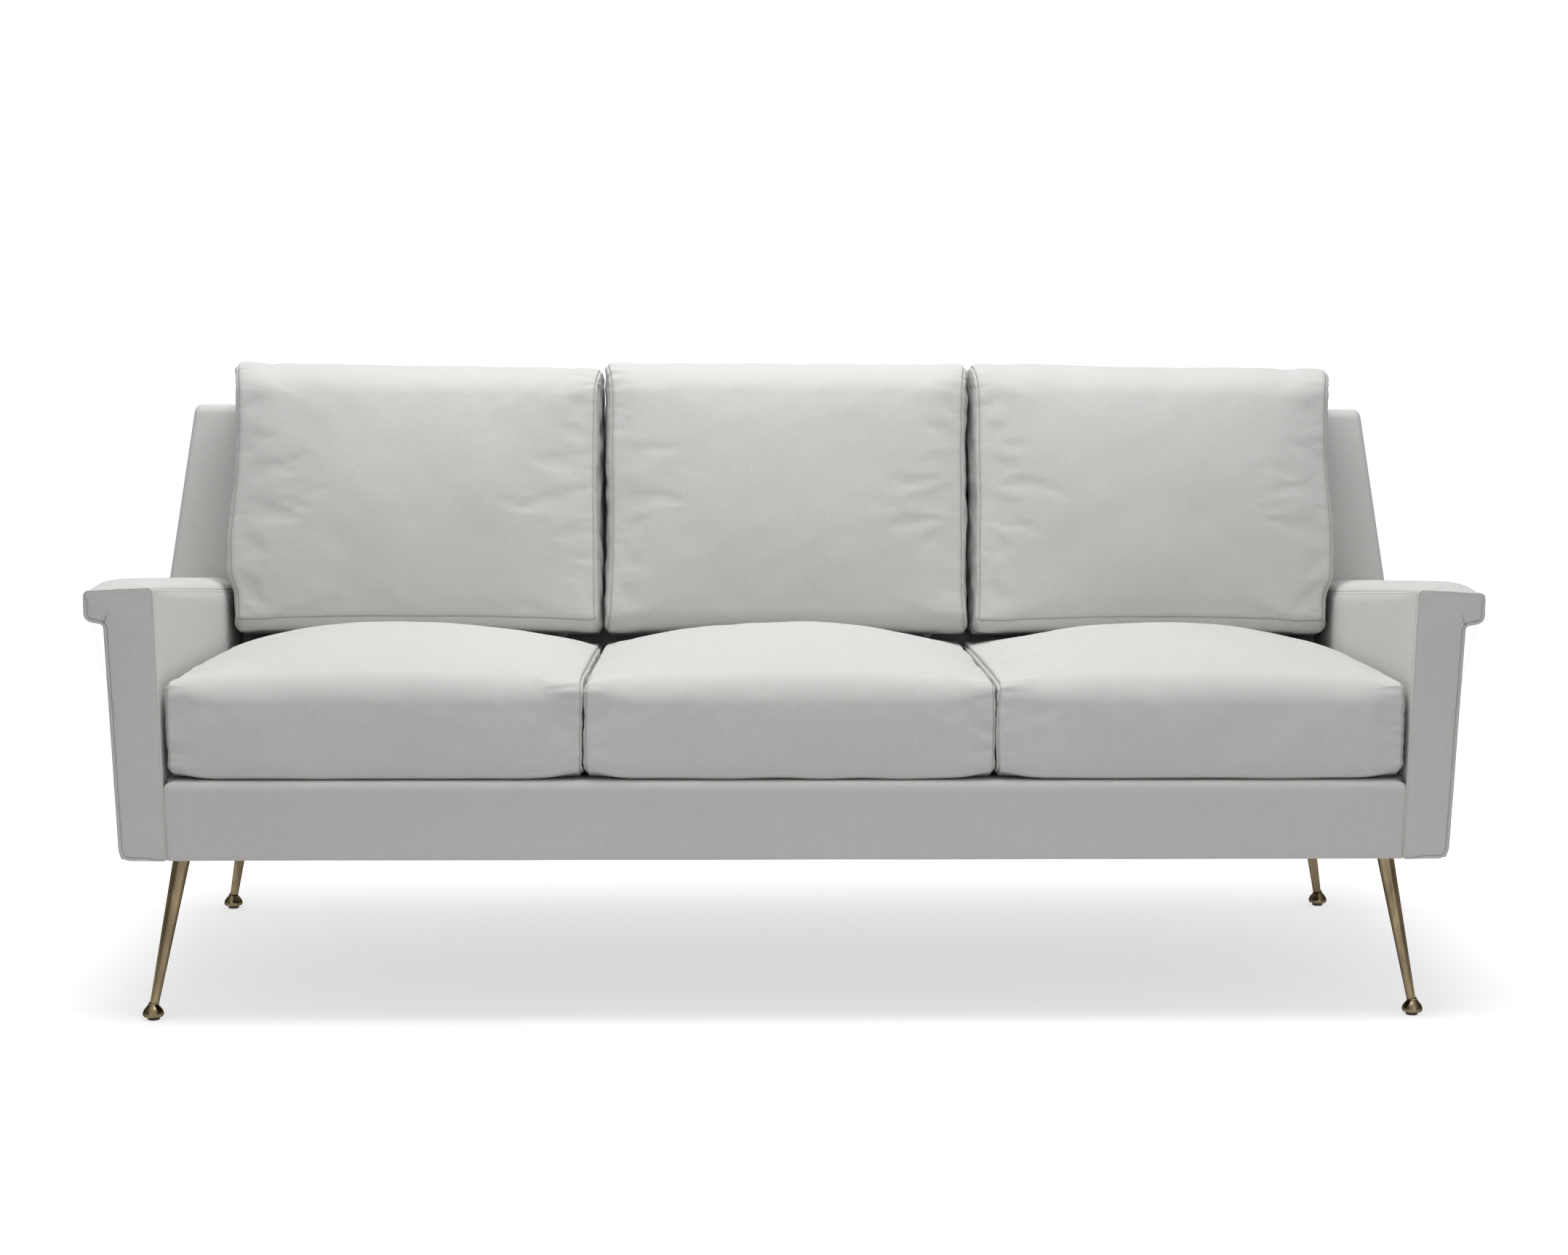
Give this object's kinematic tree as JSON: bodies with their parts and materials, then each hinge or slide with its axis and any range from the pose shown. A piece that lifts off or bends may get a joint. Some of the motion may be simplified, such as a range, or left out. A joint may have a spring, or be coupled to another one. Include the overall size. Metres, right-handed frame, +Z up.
{
  "type": "sofa",
  "caption": "Sofa with low flared-lip arms, loose box seat and back cushions, a panel back and splayed tapered metal legs on ball feet.",
  "frame": {"origin": "on the floor, at the middle of the bounding box", "axes": "+Z up, +X along the width to the right as seen from the front, -Y towards the front"},
  "size_m": [1.93, 0.795, 0.9027],
  "materials": {
    "upholstery": "plain-woven light grey linen-look cloth, matte",
    "deck_cloth": "plain grey platform cloth",
    "lining": "black non-woven lining",
    "foam": "cut polyurethane foam",
    "zip_tape": "woven zip tape with coil teeth",
    "webbing": "elastic upholstery webbing",
    "timber": "planed hardwood",
    "brass": "antiqued brushed brass",
    "steel": "zinc-plated steel",
    "nylon": "moulded nylon"
  },
  "bodies": {
    "frame": {"leg_front_left": "brass", "leg_front_right": "brass", "leg_rear_left": "brass", "leg_rear_right": "brass", "ball_feet": "brass", "floor_glides": "nylon", "leg_studs": "steel", "leg_plates": "steel", "plate_screws": "steel", "front_rail": "timber", "seat_back_rail": "timber", "rear_rail": "timber", "side_rail_left": "timber", "side_rail_right": "timber", "seat_stretchers": "timber", "corner_blocks": "timber", "arm_posts_left": "timber", "arm_posts_right": "timber", "arm_board_left": "timber", "arm_board_right": "timber", "back_post_left": "timber", "back_post_right": "timber", "back_posts_inner": "timber", "back_top_rail": "timber", "seat_webbing": "webbing", "back_webbing": "webbing", "seat_deck": "deck_cloth", "dust_cover": "lining", "rail_cover": "upholstery", "arm_cover_left": "upholstery", "arm_cover_right": "upholstery", "arm_front_left": "upholstery", "arm_front_right": "upholstery", "back_cover": "upholstery", "outside_back": "upholstery"},
    "seat_cushion_left": {"seat_cushion_left": "upholstery", "seat_core_left": "foam", "seat_zip_left": "zip_tape"},
    "back_cushion_left": {"back_cushion_left": "upholstery", "back_core_left": "foam", "back_zip_left": "zip_tape"},
    "seat_slider_left": {"seat_slider_left": "steel"},
    "back_slider_left": {"back_slider_left": "steel"},
    "seat_cushion_middle": {"seat_cushion_middle": "upholstery", "seat_core_middle": "foam", "seat_zip_middle": "zip_tape"},
    "back_cushion_middle": {"back_cushion_middle": "upholstery", "back_core_middle": "foam", "back_zip_middle": "zip_tape"},
    "seat_slider_middle": {"seat_slider_middle": "steel"},
    "back_slider_middle": {"back_slider_middle": "steel"},
    "seat_cushion_right": {"seat_cushion_right": "upholstery", "seat_core_right": "foam", "seat_zip_right": "zip_tape"},
    "back_cushion_right": {"back_cushion_right": "upholstery", "back_core_right": "foam", "back_zip_right": "zip_tape"},
    "seat_slider_right": {"seat_slider_right": "steel"},
    "back_slider_right": {"back_slider_right": "steel"}
  },
  "joints": [
    {"name": "seat_pull_left", "type": "slide", "parent": "frame", "child": "seat_cushion_left", "axis": [-0.0141, -0.9985, 0.0523], "range_m": [0, 0.58]},
    {"name": "seat_pull_middle", "type": "slide", "parent": "frame", "child": "seat_cushion_middle", "axis": [0, -0.9986, 0.0523], "range_m": [0, 0.58]},
    {"name": "seat_pull_right", "type": "slide", "parent": "frame", "child": "seat_cushion_right", "axis": [0.0141, -0.9985, 0.0523], "range_m": [0, 0.58]},
    {"name": "back_lift_left", "type": "slide", "parent": "frame", "child": "back_cushion_left", "axis": [0, 0.2079, 0.9781], "range_m": [0, 0.43]},
    {"name": "back_lift_middle", "type": "slide", "parent": "frame", "child": "back_cushion_middle", "axis": [0, 0.2079, 0.9781], "range_m": [0, 0.43]},
    {"name": "back_lift_right", "type": "slide", "parent": "frame", "child": "back_cushion_right", "axis": [0, 0.2079, 0.9781], "range_m": [0, 0.43]},
    {"name": "seat_unzip_left", "type": "slide", "parent": "seat_cushion_left", "child": "seat_slider_left", "axis": [-1, 0, 0], "range_m": [0, 0.46]},
    {"name": "seat_unzip_middle", "type": "slide", "parent": "seat_cushion_middle", "child": "seat_slider_middle", "axis": [-1, 0, 0], "range_m": [0, 0.46]},
    {"name": "seat_unzip_right", "type": "slide", "parent": "seat_cushion_right", "child": "seat_slider_right", "axis": [-1, 0, 0], "range_m": [0, 0.46]},
    {"name": "back_unzip_left", "type": "slide", "parent": "back_cushion_left", "child": "back_slider_left", "axis": [-1, 0, 0], "range_m": [0, 0.44]},
    {"name": "back_unzip_middle", "type": "slide", "parent": "back_cushion_middle", "child": "back_slider_middle", "axis": [-1, 0, 0], "range_m": [0, 0.44]},
    {"name": "back_unzip_right", "type": "slide", "parent": "back_cushion_right", "child": "back_slider_right", "axis": [-1, 0, 0], "range_m": [0, 0.44]}
  ]
}
